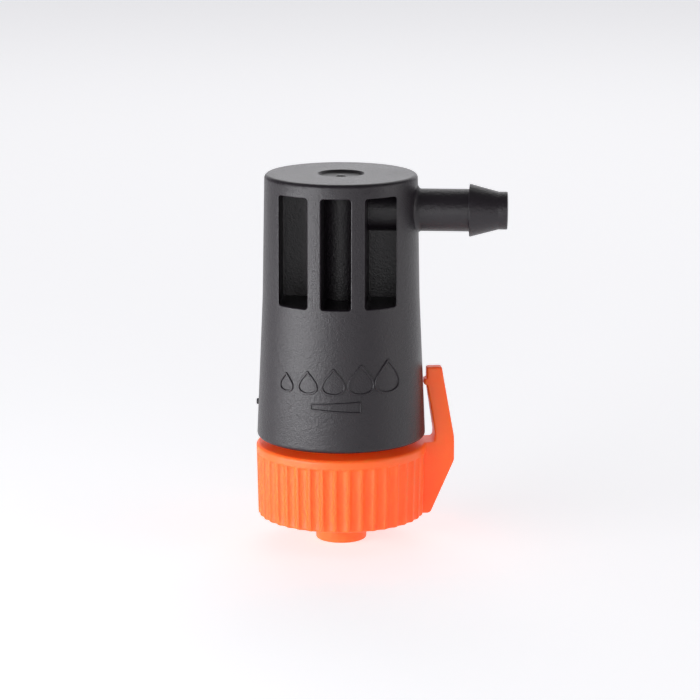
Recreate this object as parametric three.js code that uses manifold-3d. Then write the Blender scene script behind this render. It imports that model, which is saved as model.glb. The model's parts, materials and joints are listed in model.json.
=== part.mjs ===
// An adjustable end-of-line drip emitter for garden micro tube, in millimetres, +Z up, inlet barb along +X.
//
// Water comes in at the barb, goes down the column inside the housing and through the seat bush, past the
// tip of the metering pin, through the cross hole into the hollow stem, and drips from the stub under the
// flow knob. The knob's stem screws into the boss inside the housing, so turning the knob lifts the pin
// into its seat.
//
// Heights are above the end of the outlet stub, and radii are from the common axis of housing and knob.

import * as THREE from "three";
import { mergeVertices } from "three/addons/utils/BufferGeometryUtils.js";
import Module from "manifold-3d";

// Driving sizes.

const stub = { radius: 2.68, length: 2.8, edge: 0.2, bore: 1.1 };

const cap = {
  height: 7.75, // from the bottom face to the flat top
  overhang: 0.09, // beyond the skirt
  draft: 0.17, // narrower at the bottom by this much
  topEdge: 0.36,
  bottomEdge: 0.2,
  smoothBand: 0.95, // plain band above the grip grooves
  wall: 1.55,
  top: 1.5,
  hubRadius: 3.9,
  webs: 6,
  webThickness: 1.0,
};

const grip = { grooves: 40, depth: 0.3, mouth: 1.1, root: 0.45 };

const arm = {
  azimuth: 9, // degrees from the barb, seen from above, counterclockwise
  reach: 2.9, // how far the elbow stands out of the cap
  footReach: 0.55,
  ledge: 0.88, // shelf between the cap's rim and the arm
  height: 7.9, // from the cap's top to the arm's tip
  tipThickness: 1.4,
  rootThickness: 3.3,
  tipDepth: 1.6,
  nubDrop: 1.57, // from the tip down to the middle of the nub
  nubHeight: 0.75,
  nubStand: 0.27, // how far the nub stands out of the arm, towards the skirt
  nubClearance: 0.12,
};

const skirtGap = 0.72; // between the cap and the skirt, at rest

const housing = {
  height: 27.88,
  bottomRadius: 8.88,
  skirtDraft: 0.66, // narrower at the window sills by this much
  upperDraft: 0.24, // and by this much more at the top
  waistHeight: 14.96, // from the skirt's bottom to the window sills
  bottomEdge: 0.4,
  topEdge: 0.42,
  skirtWall: 1.3,
  deck: 1.7,
};

const dimple = { radius: 2.4, depth: 0.3, gateRadius: 0.4, gateHeight: 0.14 };

const windows = { width: 3.1, height: 11.4, pitch: 4.5, web: 0.8, corner: 0.28 };

const barb = {
  drop: 3.75, // from the housing's top down to the barb's axis
  stemRadius: 2.215,
  rootFillet: 0.35,
  stemLength: 5.38, // from the housing's upper edge to the shoulder
  barbRadius: 2.74,
  land: 0.12,
  coneLength: 2.9,
  tipRadius: 1.97,
  tipLength: 0.97,
  bore: 1.1,
};

const column = { radius: 2.7, bore: 1.15 };

const boss = { radius: 5.0, mouthRise: 1.9, threadLength: 5.8 };

const seal = { bore: 2.6, length: 6.0, noseRadius: 2.25, noseLength: 5.2 };

const thread = {
  rootRadius: 3.3,
  height: 0.55,
  radialPlay: 0.1,
  lead: 1.25,
  rootHalfWidth: 0.3,
  tipHalfWidth: 0.15,
  stemStart: 1.3, // above the cap's top
  stemTurns: 3.4,
  bossStart: 0.75, // above the boss's mouth
  bossTurns: 3,
};

const closingTurn = 171; // degrees from rest to the pin on its seat

const ring = { section: 0.36, grooveWidth: 1.1, grooveRadius: 1.75, aboveShoulder: 2.3 };

const stemBore = 1.25;
const crossHole = { radius: 0.6, belowNose: 1.4 };

const pin = {
  shankLength: 0.6,
  flangeRadius: 1.9,
  flange: 0.45,
  coneRadius: 1.15,
  coneLength: 3.5,
  tipRadius: 0.4,
};

const bush = { flangeRadius: 2.5, flange: 0.4, bodyRadius: 1.75, length: 3.1 };

const scaleMarks = { count: 6, first: 30, last: 180, rise: 3.43, radius: 0.32, stand: 0.23 };

const fitClearance = 0.03;
const overrun = 1; // how far a cutting shape reaches past the face that it cuts

const around = 48; // facets round the big turned faces
const aroundSmall = 32;
const aroundFine = 24;
const threadSteps = 20; // in one turn

// Sizes that follow from those.

const capBottom = stub.length;
const capTop = capBottom + cap.height;
const skirtBottom = capTop + skirtGap;
const waist = skirtBottom + housing.waistHeight;
const housingTop = skirtBottom + housing.height;
const deckUnderside = waist - housing.deck;
const barbHeight = housingTop - barb.drop;
const waistRadius = housing.bottomRadius - housing.skirtDraft;
const topRadius = waistRadius - housing.upperDraft;
const capTopRadius = housing.bottomRadius + cap.overhang;
const capBottomRadius = capTopRadius - cap.draft;
const shoulder = topRadius + barb.stemLength;
const coneStart = shoulder + barb.land;
const barbEnd = coneStart + barb.coneLength + barb.tipLength;

const threadBore = thread.rootRadius + thread.height + thread.radialPlay;
const bossMouth = skirtBottom + boss.mouthRise;
const sealStart = bossMouth + boss.threadLength;
const sealEnd = sealStart + seal.length;
const closingLift = (thread.lead * closingTurn) / 360;
const stemShoulder = sealStart - closingLift - 0.2;
const noseTop = stemShoulder + seal.noseLength;
const pinFlangeTop = noseTop + fitClearance + pin.flange;
const bushFlangeBottom = sealEnd - fitClearance - bush.flange;

const skirtSlope = housing.skirtDraft / housing.waistHeight;
const skirtRadius = (z) => housing.bottomRadius - skirtSlope * (z - skirtBottom);

// Half the overall length lies each side of the part's own origin.
const markReach = skirtRadius(skirtBottom + scaleMarks.rise) + scaleMarks.stand;
const leftReach = Math.max(capTopRadius, markReach);
const axisOffset = (leftReach - barbEnd) / 2;

const wasm = await Module();
wasm.setup();

// A geometry as a solid that can be joined and cut.
function solid(geometry) {
  const bare = geometry.clone();
  bare.deleteAttribute("normal");
  bare.deleteAttribute("uv");
  const merged = mergeVertices(bare, 1e-4);
  const corners = [...merged.index.array];
  const kept = [];
  for (let i = 0; i < corners.length; i += 3) {
    const [a, b, c] = corners.slice(i, i + 3);
    if (a !== b && b !== c && c !== a) kept.push(a, b, c);
  }
  return new wasm.Manifold(
    new wasm.Mesh({
      numProp: 3,
      vertProperties: new Float32Array(merged.attributes.position.array),
      triVerts: new Uint32Array(kept),
    }),
  );
}

// A solid as a geometry with flat faces.
function geometryOf(made) {
  const mesh = made.getMesh();
  const geometry = new THREE.BufferGeometry();
  geometry.setAttribute("position", new THREE.BufferAttribute(mesh.vertProperties, 3));
  geometry.setIndex(new THREE.BufferAttribute(mesh.triVerts, 1));
  const flat = geometry.toNonIndexed();
  flat.computeVertexNormals();
  return flat;
}

const join = (...solids) => solids.reduce((a, b) => a.add(b));
const cut = (from, ...tools) => tools.reduce((a, b) => a.subtract(b), from);

// An outline whose corners are rounded: a point is [x, y] or [x, y, radius].
function rounded(points, steps = 3) {
  return points.flatMap(([x, y, radius], i) => {
    const corner = new THREE.Vector2(x, y);
    if (!radius) return [corner];
    const [px, py] = points.at(i - 1);
    const [nx, ny] = points[(i + 1) % points.length];
    const back = new THREE.Vector2(px - x, py - y).normalize();
    const on = new THREE.Vector2(nx - x, ny - y).normalize();
    const half = Math.acos(back.dot(on)) / 2;
    const centre = back.clone().add(on).normalize().multiplyScalar(radius / Math.sin(half)).add(corner);
    const start = back.multiplyScalar(radius / Math.tan(half)).add(corner).sub(centre);
    const end = on.multiplyScalar(radius / Math.tan(half)).add(corner).sub(centre);
    const sweep = Math.atan2(start.cross(end), start.dot(end));
    const origin = new THREE.Vector2();
    return Array.from({ length: steps + 1 }, (_, k) =>
      start.clone().rotateAround(origin, (sweep * k) / steps).add(centre),
    );
  });
}

// A body turned about Z from a profile of [radius, height] points that closes on itself or on the axis.
function turned(points, facets = around) {
  const outline = rounded(points);
  outline.push(outline[0].clone());
  return solid(new THREE.LatheGeometry(outline, facets).rotateX(Math.PI / 2));
}

// A plain round bar along Z.
const bar = (radius, low, high, facets = aroundSmall) =>
  turned([[0, low], [radius, low], [radius, high], [0, high]], facets);

const alongX = (made) => made.rotate([0, 90, 0]);

// A flat outline in X and Z, made as thick as asked, centred on Y = 0.
function plate(points, thickness) {
  const geometry = new THREE.ExtrudeGeometry(new THREE.Shape(rounded(points)), {
    depth: thickness,
    bevelEnabled: false,
  });
  return solid(geometry.rotateX(Math.PI / 2).translate(0, thickness / 2, 0));
}

// A block between two corners.
function block(low, high) {
  const size = high.map((v, i) => v - low[i]);
  const middle = high.map((v, i) => (v + low[i]) / 2);
  return solid(new THREE.BoxGeometry(...size).translate(...middle));
}

// A ridge that winds up a round wall. It starts inside the wall at `root` and its crest is at `tip`.
function threadRidge(root, tip, start, turns) {
  const steps = Math.round(threadSteps * turns);
  const section = [
    [root, -thread.rootHalfWidth],
    [tip, -thread.tipHalfWidth],
    [tip, thread.tipHalfWidth],
    [root, thread.rootHalfWidth],
  ];
  if (tip < root) section.reverse();
  const vertices = [];
  for (let i = 0; i <= steps; i += 1) {
    const angle = (2 * Math.PI * i) / threadSteps;
    const height = start + (thread.lead * i) / threadSteps;
    section.forEach(([r, z]) => vertices.push(r * Math.cos(angle), r * Math.sin(angle), height + z));
  }
  const faces = [0, 1, 2, 0, 2, 3];
  for (let i = 0; i < steps; i += 1) {
    for (let k = 0; k < 4; k += 1) {
      const a = 4 * i + k;
      const b = 4 * i + ((k + 1) % 4);
      faces.push(a, a + 4, b + 4, a, b + 4, b);
    }
  }
  const end = 4 * steps;
  faces.push(end, end + 2, end + 1, end, end + 3, end + 2);
  const geometry = new THREE.BufferGeometry();
  geometry.setAttribute("position", new THREE.BufferAttribute(new Float32Array(vertices), 3));
  geometry.setIndex(faces);
  return solid(geometry);
}

// The black moulding: tapered body, hose barb, six window pockets, the column and the threaded boss.
function makeHousing() {
  const shell = turned([
    [0, skirtBottom],
    [housing.bottomRadius, skirtBottom, housing.bottomEdge],
    [waistRadius, waist],
    [topRadius, housingTop, housing.topEdge],
    [dimple.radius, housingTop],
    [dimple.radius - dimple.depth, housingTop - dimple.depth],
    [dimple.gateRadius, housingTop - dimple.depth],
    [dimple.gateRadius, housingTop - dimple.depth + dimple.gateHeight],
    [0, housingTop - dimple.depth + dimple.gateHeight],
  ]);

  const flare = topRadius - barb.rootFillet;
  const nozzle = alongX(
    turned(
      [
        [0, 0],
        [barb.stemRadius + barb.rootFillet, 0],
        [barb.stemRadius + barb.rootFillet, flare],
        [barb.stemRadius, flare + 2 * barb.rootFillet],
        [barb.stemRadius, shoulder],
        [barb.barbRadius, shoulder],
        [barb.barbRadius, coneStart],
        [barb.tipRadius, barbEnd - barb.tipLength],
        [barb.tipRadius, barbEnd, 0.15],
        [0, barbEnd],
      ],
      aroundSmall,
    ),
  ).translate([0, 0, barbHeight]);

  return join(
    cut(shell, windowPockets(), skirtCavity(), housingBores()).add(
      cut(nozzle, bar(topRadius - 2 * barb.rootFillet, waist, housingTop, around)),
    ),
    ...makeScaleMarks(),
  ).subtract(ductBore()).add(bossThread());
}

// The windows are pockets that run straight in to a middle web, round the column and the inlet duct.
function windowPockets() {
  const half = windows.width / 2;
  const top = waist + windows.height;
  const pockets = [-1, 0, 1].map((place) => {
    const x = place * windows.pitch;
    return plate(
      [
        [x - half, waist, windows.corner],
        [x + half, waist, windows.corner],
        [x + half, top, windows.corner],
        [x - half, top, windows.corner],
      ],
      2 * (housing.bottomRadius + overrun),
    );
  });
  const wide = housing.bottomRadius + overrun;
  const web = block([-wide, -windows.web / 2, waist - overrun], [wide, windows.web / 2, top + overrun]);
  const duct = alongX(bar(barb.stemRadius, 0, wide)).translate([0, 0, barbHeight]);
  return cut(join(...pockets), web, bar(column.radius, waist - overrun, top + overrun), duct);
}

// The hollow of the skirt, round the boss.
function skirtCavity() {
  return turned([
    [0, skirtBottom - overrun],
    [housing.bottomRadius - housing.skirtWall, skirtBottom - overrun],
    [skirtRadius(deckUnderside) - housing.skirtWall, deckUnderside, 0.4],
    [boss.radius, deckUnderside, 0.3],
    [boss.radius, bossMouth],
    [0, bossMouth],
  ]);
}

// The stepped bore up the axis: thread, seal bore, bush seat and water passage.
function housingBores() {
  return turned(
    [
      [0, bossMouth - overrun],
      [threadBore, bossMouth - overrun],
      [threadBore, sealStart],
      [seal.bore, sealStart],
      [seal.bore, sealEnd],
      [bush.bodyRadius, sealEnd],
      [bush.bodyRadius, sealEnd + bush.length + fitClearance],
      [column.bore, sealEnd + bush.length + fitClearance],
      [column.bore, barbHeight + barb.bore],
      [0, barbHeight + barb.bore],
    ],
    aroundSmall,
  );
}

// The water way from the barb's end to the column.
function ductBore() {
  return alongX(bar(barb.bore, 0, barbEnd + overrun, aroundFine)).translate([0, 0, barbHeight]);
}

function bossThread() {
  const crest = thread.rootRadius + thread.radialPlay;
  const start = bossMouth + thread.bossStart;
  return threadRidge(threadBore + 0.15, crest, start, thread.bossTurns);
}

// Raised pips round the back of the skirt, which the knob's arm points at.
function makeScaleMarks() {
  const height = skirtBottom + scaleMarks.rise;
  const step = (scaleMarks.last - scaleMarks.first) / (scaleMarks.count - 1);
  return Array.from({ length: scaleMarks.count }, (_, i) =>
    alongX(bar(scaleMarks.radius, skirtRadius(height) - 0.5, skirtRadius(height) + scaleMarks.stand, 12))
      .translate([0, 0, height])
      .rotate([0, 0, scaleMarks.first + i * step]),
  );
}

// The orange moulding: ribbed cap, outlet stub, hollow threaded stem and pointer arm.
function makeFlowKnob() {
  // Two facets to each groove, so that a facet's edge runs down the middle of every rib.
  const disc = turned(
    [
      [0, capBottom],
      [capBottomRadius, capBottom, cap.bottomEdge],
      [capTopRadius, capTop, cap.topEdge],
      [0, capTop],
    ],
    2 * grip.grooves,
  ).rotate([0, 0, arm.azimuth]);
  const middle = (capBottom + capTop) / 2;
  const spout = turned(
    [[0, 0], [stub.radius, 0, stub.edge], [stub.radius, middle], [0, middle]],
    aroundSmall,
  );
  const stem = turned(
    [
      [0, middle],
      [thread.rootRadius, middle],
      [thread.rootRadius, stemShoulder],
      [seal.noseRadius, stemShoulder],
      [seal.noseRadius, noseTop],
      [0, noseTop],
    ],
    aroundSmall,
  );

  const ringMiddle = stemShoulder + ring.aboveShoulder;
  const ringGroove = turned(
    [
      [ring.grooveRadius, ringMiddle - ring.grooveWidth / 2],
      [seal.noseRadius + overrun, ringMiddle - ring.grooveWidth / 2],
      [seal.noseRadius + overrun, ringMiddle + ring.grooveWidth / 2],
      [ring.grooveRadius, ringMiddle + ring.grooveWidth / 2],
    ],
    aroundSmall,
  );
  const passage = turned(
    [
      [0, -overrun],
      [stub.bore, -overrun],
      [stub.bore, capBottom],
      [stemBore, capBottom + 0.3],
      [stemBore, noseTop + overrun],
      [0, noseTop + overrun],
    ],
    aroundFine,
  );
  const hole = alongX(bar(crossHole.radius, -seal.noseRadius - overrun, seal.noseRadius + overrun, 16));

  const ribbed = cut(disc, underside(), ...gripGrooves());
  return cut(
    join(ribbed, spout, stem, stemThread(), pointerArm()),
    ringGroove,
    passage,
    hole.translate([0, 0, noseTop - crossHole.belowNose]),
  );
}

// The hollow under the cap, with its webs left standing.
function underside() {
  const low = capBottom - overrun;
  const high = capTop - cap.top;
  const wallInside = capBottomRadius - cap.wall;
  const hollow = turned([
    [cap.hubRadius, low],
    [wallInside, low],
    [wallInside, high, 0.3],
    [cap.hubRadius, high, 0.3],
  ]);
  const webs = Array.from({ length: cap.webs }, (_, i) =>
    block(
      [0, -cap.webThickness / 2, low - overrun],
      [capTopRadius, cap.webThickness / 2, high + overrun],
    ).rotate([0, 0, arm.azimuth + (i * 360) / cap.webs]),
  );
  return cut(hollow, ...webs);
}

// Grip grooves in the cap's wall, which lean with its draft.
function gripGrooves() {
  const top = capTop - cap.smoothBand;
  const draft = cap.draft / cap.height;
  const outline = new THREE.Shape([
    new THREE.Vector2(-grip.depth, -grip.root / 2),
    new THREE.Vector2(grip.depth, -grip.mouth / 2 - (grip.mouth - grip.root) / 2),
    new THREE.Vector2(grip.depth, grip.mouth / 2 + (grip.mouth - grip.root) / 2),
    new THREE.Vector2(-grip.depth, grip.root / 2),
  ]);
  const lean = new THREE.Matrix4().makeShear(0, 0, 0, 0, draft, 0);
  const depth = top - capBottom + overrun;
  const geometry = new THREE.ExtrudeGeometry(outline, { depth, bevelEnabled: false })
    .translate(0, 0, -overrun)
    .applyMatrix4(lean)
    .translate(capBottomRadius, 0, capBottom);
  const groove = solid(geometry);
  return Array.from({ length: grip.grooves }, (_, i) =>
    groove.rotate([0, 0, arm.azimuth + ((i + 0.5) * 360) / grip.grooves]),
  );
}

function stemThread() {
  const crest = thread.rootRadius + thread.height;
  // Half a lead off the boss's ridge, a whole number of leads down, so the ridges run between each other.
  const bossRidge = bossMouth + thread.bossStart;
  const wanted = capTop + thread.stemStart;
  const leads = Math.round((bossRidge - wanted) / thread.lead - 0.5) + 0.5;
  return threadRidge(thread.rootRadius - 0.15, crest, bossRidge - leads * thread.lead, thread.stemTurns);
}

// The pointer stands on a shelf at the cap's rim and leans in to a nub that runs close round the skirt.
function pointerArm() {
  const tip = capTop + arm.height;
  const elbow = capTopRadius + arm.reach;
  const foot = capBottomRadius + arm.footReach;
  const nub = tip - arm.nubDrop;
  const nubFace = skirtRadius(nub) + arm.nubClearance;
  const tipFace = nubFace + arm.nubStand;
  const shelf = capTopRadius + arm.ledge;
  const fin = plate(
    [
      [capBottomRadius - 0.6, capBottom],
      [foot, capBottom, 0.3],
      [elbow, capTop - 2.0, 0.8],
      [elbow, capTop + 0.5, 5],
      [tipFace + arm.tipDepth, tip, 0.2],
      [tipFace, tip, 0.25],
      [tipFace, nub + arm.nubHeight / 2],
      [nubFace, nub + arm.nubHeight / 4],
      [nubFace, nub - arm.nubHeight / 4],
      [tipFace, nub - arm.nubHeight / 2],
      [shelf, capTop + 0.9, 0.3],
      [shelf, capTop, 0.45],
      [capTopRadius - 0.6, capTop],
    ],
    arm.rootThickness + 1,
  );
  const halfRoot = arm.rootThickness / 2;
  const halfTip = arm.tipThickness / 2;
  const sides = plate(
    [
      [-halfRoot, capBottom - overrun],
      [halfRoot, capBottom - overrun],
      [halfRoot, capTop],
      [halfTip, nub],
      [halfTip, tip + overrun],
      [-halfTip, tip + overrun],
      [-halfTip, nub],
      [-halfRoot, capTop],
    ],
    4 * elbow,
  ).rotate([0, 0, 90]);
  return fin.intersect(sides).rotate([0, 0, arm.azimuth]);
}

// Pressed into the top of the stem: its cone and the bush's mouth meter the flow.
function makeMeteringPin() {
  const flangeBottom = noseTop + fitClearance;
  return turned(
    [
      [0, noseTop - pin.shankLength],
      [stemBore - fitClearance, noseTop - pin.shankLength, 0.15],
      [stemBore - fitClearance, flangeBottom],
      [pin.flangeRadius, flangeBottom],
      [pin.flangeRadius, pinFlangeTop],
      [pin.coneRadius, pinFlangeTop],
      [pin.tipRadius, pinFlangeTop + pin.coneLength, 0.2],
      [0, pinFlangeTop + pin.coneLength],
    ],
    aroundFine,
  );
}

// The cone's radius where it meets the bush's mouth with the knob screwed home.
function seatBoreRadius() {
  const up = bushFlangeBottom - (pinFlangeTop + closingLift);
  const slope = (pin.coneRadius - pin.tipRadius) / pin.coneLength;
  return pin.coneRadius - slope * up + fitClearance;
}

function makeSeatBush() {
  const bore = seatBoreRadius();
  return turned(
    [
      [bore, bushFlangeBottom],
      [bush.flangeRadius, bushFlangeBottom],
      [bush.flangeRadius, sealEnd - fitClearance],
      [bush.bodyRadius - fitClearance, sealEnd - fitClearance],
      [bush.bodyRadius - fitClearance, sealEnd + bush.length],
      [bore, sealEnd + bush.length],
    ],
    aroundSmall,
  );
}

// The rubber ring that keeps the water from the thread.
function makeStemRing() {
  const middle = (ring.grooveRadius + seal.bore) / 2;
  const sides = 8;
  const circle = Array.from({ length: sides }, (_, i) => {
    const angle = (2 * Math.PI * i) / sides;
    return [middle + ring.section * Math.cos(angle), ring.section * Math.sin(angle)];
  });
  return turned(circle, aroundSmall).translate([0, 0, stemShoulder + ring.aboveShoulder]);
}

const black = new THREE.MeshStandardMaterial({ color: 0x2b2a2d, roughness: 0.5, metalness: 0 });
const orange = new THREE.MeshStandardMaterial({ color: 0xf9612b, roughness: 0.4, metalness: 0 });
const rubber = new THREE.MeshStandardMaterial({ color: 0x1a1a1a, roughness: 0.8, metalness: 0 });
const acetal = new THREE.MeshStandardMaterial({ color: 0xe9e6dc, roughness: 0.35, metalness: 0 });

const pieces = [
  ["housing", makeHousing, black],
  ["flow_knob", makeFlowKnob, orange],
  ["metering_pin", makeMeteringPin, acetal],
  ["seat_bush", makeSeatBush, rubber],
  ["stem_ring", makeStemRing, rubber],
];

const group = new THREE.Group();
group.name = "drip_emitter";
pieces.forEach(([name, make, material]) => {
  const mesh = new THREE.Mesh(geometryOf(make()), material);
  mesh.name = name;
  mesh.position.x = axisOffset;
  group.add(mesh);
});

export default group;
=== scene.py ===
# %% [markdown]
# # An adjustable drip emitter, modelled for moulded plastic
#
# The emitter is two injection mouldings that screw together: a black housing with a hose barb and window
# pockets, and an orange flow knob with grip grooves and a pointer arm. Three small pieces sit inside: a
# pin, its seat and a sealing ring. A packed engineering model gives every size, place and joint, and this
# script gives the surfaces: true rounds, soft moulded edges, raised marks and the finish of each plastic.

# %% Load the frame
import json
import math

import bpy
import bmesh
from mathutils import Matrix, Vector

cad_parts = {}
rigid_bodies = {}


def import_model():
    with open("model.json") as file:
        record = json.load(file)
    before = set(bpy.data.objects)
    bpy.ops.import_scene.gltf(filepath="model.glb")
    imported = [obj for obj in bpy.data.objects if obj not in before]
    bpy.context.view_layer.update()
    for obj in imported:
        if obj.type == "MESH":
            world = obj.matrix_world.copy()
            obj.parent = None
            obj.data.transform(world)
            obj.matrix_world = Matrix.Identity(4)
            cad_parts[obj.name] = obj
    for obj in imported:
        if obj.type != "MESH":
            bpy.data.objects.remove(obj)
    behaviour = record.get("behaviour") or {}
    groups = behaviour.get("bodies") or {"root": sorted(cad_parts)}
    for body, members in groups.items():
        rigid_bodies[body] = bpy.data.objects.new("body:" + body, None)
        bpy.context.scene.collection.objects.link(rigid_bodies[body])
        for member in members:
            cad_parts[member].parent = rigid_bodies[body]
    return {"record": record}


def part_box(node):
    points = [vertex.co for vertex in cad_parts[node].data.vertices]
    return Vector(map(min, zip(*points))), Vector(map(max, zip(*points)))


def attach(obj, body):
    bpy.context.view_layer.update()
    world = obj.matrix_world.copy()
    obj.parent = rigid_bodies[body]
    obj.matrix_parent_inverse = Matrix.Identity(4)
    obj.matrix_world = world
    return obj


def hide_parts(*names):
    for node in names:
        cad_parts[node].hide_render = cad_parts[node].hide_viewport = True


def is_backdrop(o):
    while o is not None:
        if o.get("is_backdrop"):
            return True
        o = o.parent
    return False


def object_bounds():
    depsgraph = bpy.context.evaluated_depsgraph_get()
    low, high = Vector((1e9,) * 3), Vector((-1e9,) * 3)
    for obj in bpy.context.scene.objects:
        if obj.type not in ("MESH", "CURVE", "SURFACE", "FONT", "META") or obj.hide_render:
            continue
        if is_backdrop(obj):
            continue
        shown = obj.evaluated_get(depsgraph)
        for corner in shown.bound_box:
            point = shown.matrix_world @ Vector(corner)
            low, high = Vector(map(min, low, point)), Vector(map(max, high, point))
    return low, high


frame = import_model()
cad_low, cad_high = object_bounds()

# %% [markdown]
# ## Units and the common axis
#
# Moulded parts are drawn in millimetres. Every mesh here is made in millimetres round the axis that the
# housing and the knob share, with heights above the end of the outlet stub, and is moved into the frame,
# in metres, once it is whole. The joint of the knob says where that axis stands.

# %% Units and the axis
MM = 0.001
turn_joint = next(j for j in frame["record"]["behaviour"]["joints"] if j["name"] == "knob_turn")
AXIS = Vector(turn_joint["pos_m"][:2])
housing_low, housing_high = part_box("housing")
knob_low, knob_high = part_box("flow_knob")
SKIRT_BOTTOM = housing_low.z / MM
HOUSING_TOP = housing_high.z / MM
BARB_END = (housing_high.x - AXIS.x) / MM
NOSE_TOP = knob_high.z / MM
print(f"axis at x = {AXIS.x / MM:.2f} mm, skirt at {SKIRT_BOTTOM:.2f}, top at {HOUSING_TOP:.2f} mm")

# %% [markdown]
# ## The camera and the light
#
# A small product is seen best through a long lens from slightly above, so that its sides stay nearly
# parallel. A large soft box on the left and a weaker one on the right leave a dark gap between them. On a
# satin cylinder that gap draws the dark stripe down the middle that makes the shape read as round. The
# camera looks down a little, so an upright wall mirrors what lies low in front of it: a small box near
# the floor, left of the view, strengthens the left highlight. A weak front box fills the shadows, a back
# box lights the top edge, and the bright sweep behind gives the flat top its pale sheen.

# %% Camera
CAMERA_AZIMUTH = math.radians(3.8)
CAMERA_ELEVATION = math.radians(12.33)
CAMERA_DISTANCE = 315.2 * MM
CAMERA_LENS = 36.0 * 2997.0 / 700.0
LOOK_HEIGHT = 20.35 * MM
LOOK_ASIDE = 0.93 * MM
camera_back = Vector((
    math.sin(CAMERA_AZIMUTH) * math.cos(CAMERA_ELEVATION),
    -math.cos(CAMERA_AZIMUTH) * math.cos(CAMERA_ELEVATION),
    math.sin(CAMERA_ELEVATION),
))
camera_right = Vector((math.cos(CAMERA_AZIMUTH), math.sin(CAMERA_AZIMUTH), 0.0))
look_at = Vector((AXIS.x, AXIS.y, LOOK_HEIGHT)) + camera_right * LOOK_ASIDE
camera_data = bpy.data.cameras.new("camera")
camera_data.lens = CAMERA_LENS
camera_data.sensor_width = 36.0
camera_data.clip_start = 0.01
camera_data.clip_end = 20.0
camera = bpy.data.objects.new("camera", camera_data)
camera.location = look_at + camera_back * CAMERA_DISTANCE
camera.rotation_euler = camera_back.to_track_quat("Z", "Y").to_euler()
bpy.context.scene.collection.objects.link(camera)
bpy.context.scene.camera = camera
bpy.context.scene.view_settings.view_transform = "Standard"
print(f"lens {camera_data.lens:.0f} mm at {CAMERA_DISTANCE / MM:.0f} mm")


# %% Soft boxes
def soft_box(name, azimuth, elevation, distance, width, height, power, colour=(1.0, 1.0, 1.0)):
    """An area light that faces the middle of the emitter. Azimuth 0 is the camera's side, -90 its left."""
    a, e = math.radians(azimuth), math.radians(elevation)
    back = Vector((math.sin(a) * math.cos(e), -math.cos(a) * math.cos(e), math.sin(e)))
    light = bpy.data.lights.new(name, "AREA")
    light.shape = "RECTANGLE"
    light.size, light.size_y = width, height
    light.energy = power
    light.color = colour
    lamp = bpy.data.objects.new(name, light)
    lamp.location = Vector((AXIS.x, AXIS.y, 0.5 * (cad_low.z + cad_high.z))) + back * distance
    lamp.rotation_euler = back.to_track_quat("Z", "Y").to_euler()
    lamp.visible_camera = False
    bpy.context.scene.collection.objects.link(lamp)
    return lamp


soft_box("left_box", -47, 8, 0.40, 0.40, 0.11, 0.90, (0.97, 0.98, 1.0))
soft_box("right_box", 82, 10, 0.42, 0.30, 0.14, 0.30, (1.0, 0.97, 0.97))
soft_box("front_box", 8, 10, 0.45, 0.26, 0.12, 0.26)
soft_box("back_box", 178, 42, 0.50, 0.40, 0.20, 0.35)
soft_box("low_left_box", -56, -4, 0.10, 0.12, 0.022, 0.058, (0.97, 0.98, 1.0))

# %% [markdown]
# ## Writing shader maths as Python
#
# A procedural finish is arithmetic on textures: noise times a depth, a mask between two colours. One
# small class wraps a node's output socket, so that such arithmetic is written with plain operators and
# each one adds its Math node. Anything else comes from one method that takes a node type, its settings
# and its sockets.


# %% The shader workbench
class Value:
    """An output socket that does arithmetic."""

    def __init__(self, graph, socket):
        self.graph = graph
        self.socket = socket

    def _math(self, operation, *terms):
        return self.graph.node("ShaderNodeMath", {"operation": operation}, dict(enumerate(terms)))

    def __add__(self, other):
        return self._math("ADD", self, other)

    def __mul__(self, other):
        return self._math("MULTIPLY", self, other)

    __radd__ = __add__
    __rmul__ = __mul__

    def steps_from(self, low, high):
        """0 below low, 1 above high, and a smooth rise between them."""
        return self.graph.node(
            "ShaderNodeMapRange",
            {"interpolation_type": "SMOOTHSTEP"},
            {"Value": self, "From Min": low, "From Max": high},
        )


class Graph:
    """A node tree that is written as expressions."""

    def __init__(self, tree):
        self.tree = tree
        tree.nodes.clear()

    def node(self, kind, settings=None, sockets=None, out=0):
        made = self.tree.nodes.new(kind)
        for key, value in (settings or {}).items():
            setattr(made, key, value)
        for key, value in (sockets or {}).items():
            socket = made.inputs[key]
            if isinstance(value, Value):
                self.tree.links.new(value.socket, socket)
            elif isinstance(value, tuple) and len(value) == 3 and socket.type == "RGBA":
                socket.default_value = (*value, 1.0)
            else:
                socket.default_value = value
        return Value(self, made.outputs[out]) if made.outputs else None

    def mix(self, mask, first, second):
        """first where mask is 0 and second where it is 1, as colours."""
        made = self.tree.nodes.new("ShaderNodeMix")
        made.data_type = "RGBA"
        for name, value in (("Factor_Float", mask), ("A_Color", first), ("B_Color", second)):
            socket = next(s for s in made.inputs if s.identifier == name)
            if isinstance(value, Value):
                self.tree.links.new(value.socket, socket)
            else:
                socket.default_value = value if name == "Factor_Float" else (*value, 1.0)
        return Value(self, next(s for s in made.outputs if s.identifier == "Result_Color"))

    def noise(self, where, size, detail=2.0, roughness=0.5):
        """Soft noise from 0 to 1 with features of about this size, in metres."""
        return self.node(
            "ShaderNodeTexNoise",
            {},
            {"Vector": where, "Scale": 1.0 / size, "Detail": detail, "Roughness": roughness},
        )

    def bump(self, height, depth, strength=1.0):
        """A surface normal from a height of 0 to 1 that stands this deep, in metres."""
        return self.node(
            "ShaderNodeBump", {}, {"Height": height, "Distance": depth, "Strength": strength}
        )


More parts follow.
